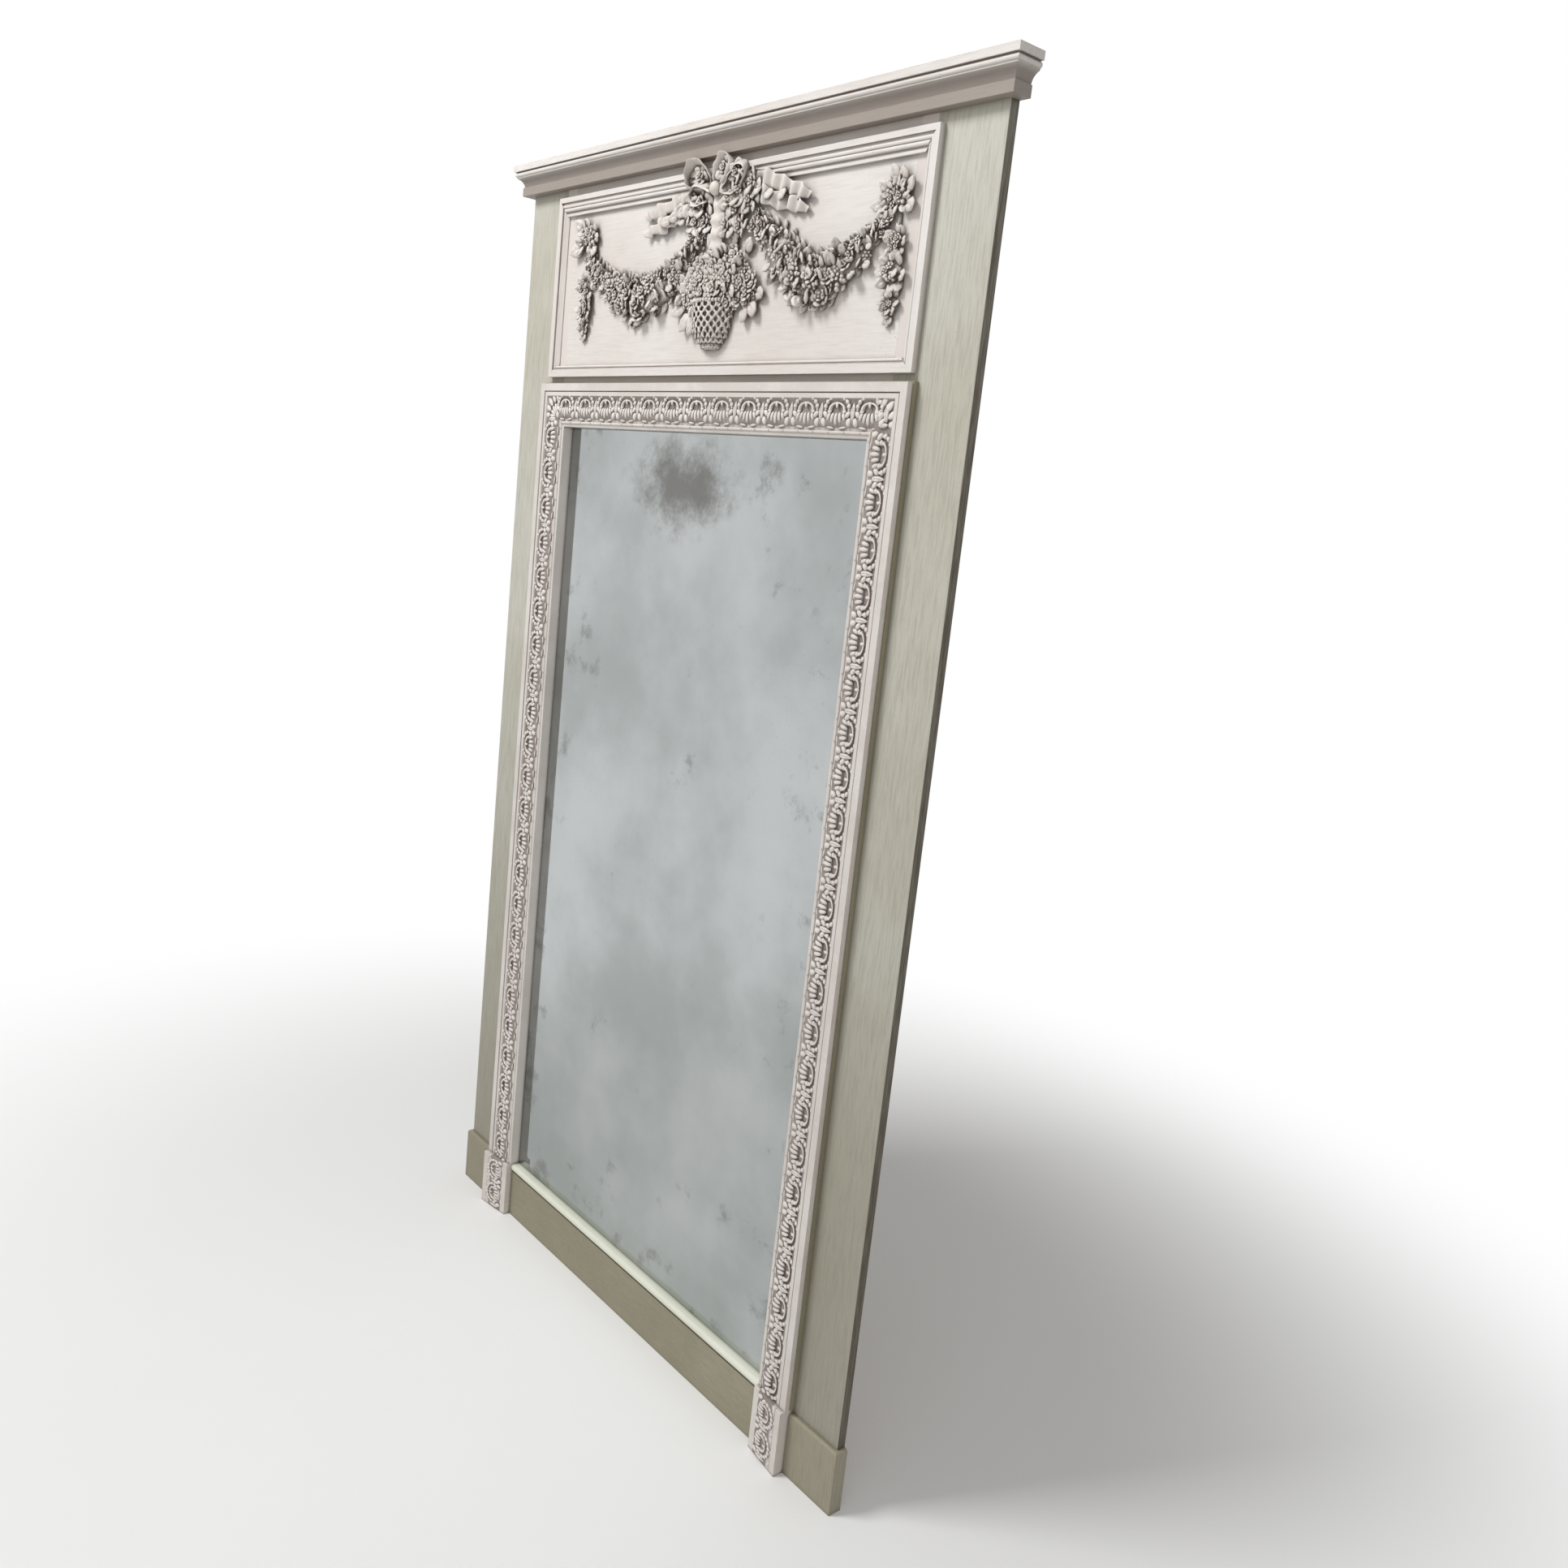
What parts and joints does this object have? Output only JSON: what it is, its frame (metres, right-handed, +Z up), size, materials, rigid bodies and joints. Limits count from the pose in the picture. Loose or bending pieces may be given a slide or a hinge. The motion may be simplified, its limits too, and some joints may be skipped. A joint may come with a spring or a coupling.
{
  "type": "trumeau mirror",
  "caption": "Tall painted overmantel mirror with a carved frame, plinth blocks, mitred cornice and an upper panel with a carved bow, basket and flower swags.",
  "frame": {"origin": "on the floor line under the mirror, at the middle of its width and of its depth", "axes": "+X to the right seen from the front, the front faces -Y and the wall is at +Y, +Z up"},
  "size_m": [1.138, 0.063, 1.9],
  "materials": {
    "board_paint": "satin",
    "pale_paint": "satin",
    "carved_paint": "satin",
    "bare_pine": "matte",
    "silvered_glass": "polished",
    "steel": "satin"
  },
  "bodies": {
    "body": {"stile_left": "board_paint", "stile_right": "board_paint", "plinth_block_left": "board_paint", "plinth_block_right": "board_paint", "base_rail": "board_paint", "rail_bead": "carved_paint", "foot_block_left": "carved_paint", "foot_block_right": "carved_paint", "frame_upright_left": "carved_paint", "frame_upright_right": "carved_paint", "frame_top": "carved_paint", "frame_slip_left": "board_paint", "frame_slip_right": "board_paint", "frame_slip_top": "board_paint", "mirror_glass": "silvered_glass", "glass_wedges": "bare_pine", "backboard_outer_left": "bare_pine", "backboard_inner_left": "bare_pine", "backboard_inner_right": "bare_pine", "backboard_outer_right": "bare_pine", "panel_board": "pale_paint", "panel_moulding_top": "pale_paint", "panel_moulding_bottom": "pale_paint", "panel_moulding_left": "pale_paint", "panel_moulding_right": "pale_paint", "cornice_front": "pale_paint", "cornice_return_left": "pale_paint", "cornice_return_right": "pale_paint", "cornice_cap": "pale_paint", "bow_knot": "carved_paint", "ribbon_left": "carved_paint", "ribbon_right": "carved_paint", "flower_basket": "carved_paint", "basket_flowers": "carved_paint", "swag_left": "carved_paint", "swag_right": "carved_paint", "corner_spray_left": "carved_paint", "corner_spray_right": "carved_paint", "drop_left": "carved_paint", "drop_right": "carved_paint", "batten_foot": "bare_pine", "batten_middle": "bare_pine", "batten_shoulder": "bare_pine", "batten_head": "bare_pine", "hanger_strap_left": "steel", "hanger_strap_right": "steel", "batten_screws": "steel", "hanger_screws": "steel"},
    "ring_left": {"hanger_ring_left": "steel"},
    "ring_right": {"hanger_ring_right": "steel"}
  },
  "joints": [
    {"name": "ring_left_swing", "type": "hinge", "parent": "body", "child": "ring_left", "pos_m": [-0.47, 0.0163, 1.7], "axis": [1, 0, 0], "range_deg": [0, 180]},
    {"name": "ring_right_swing", "type": "hinge", "parent": "body", "child": "ring_right", "pos_m": [0.47, 0.0163, 1.7], "axis": [1, 0, 0], "range_deg": [0, 180]}
  ]
}
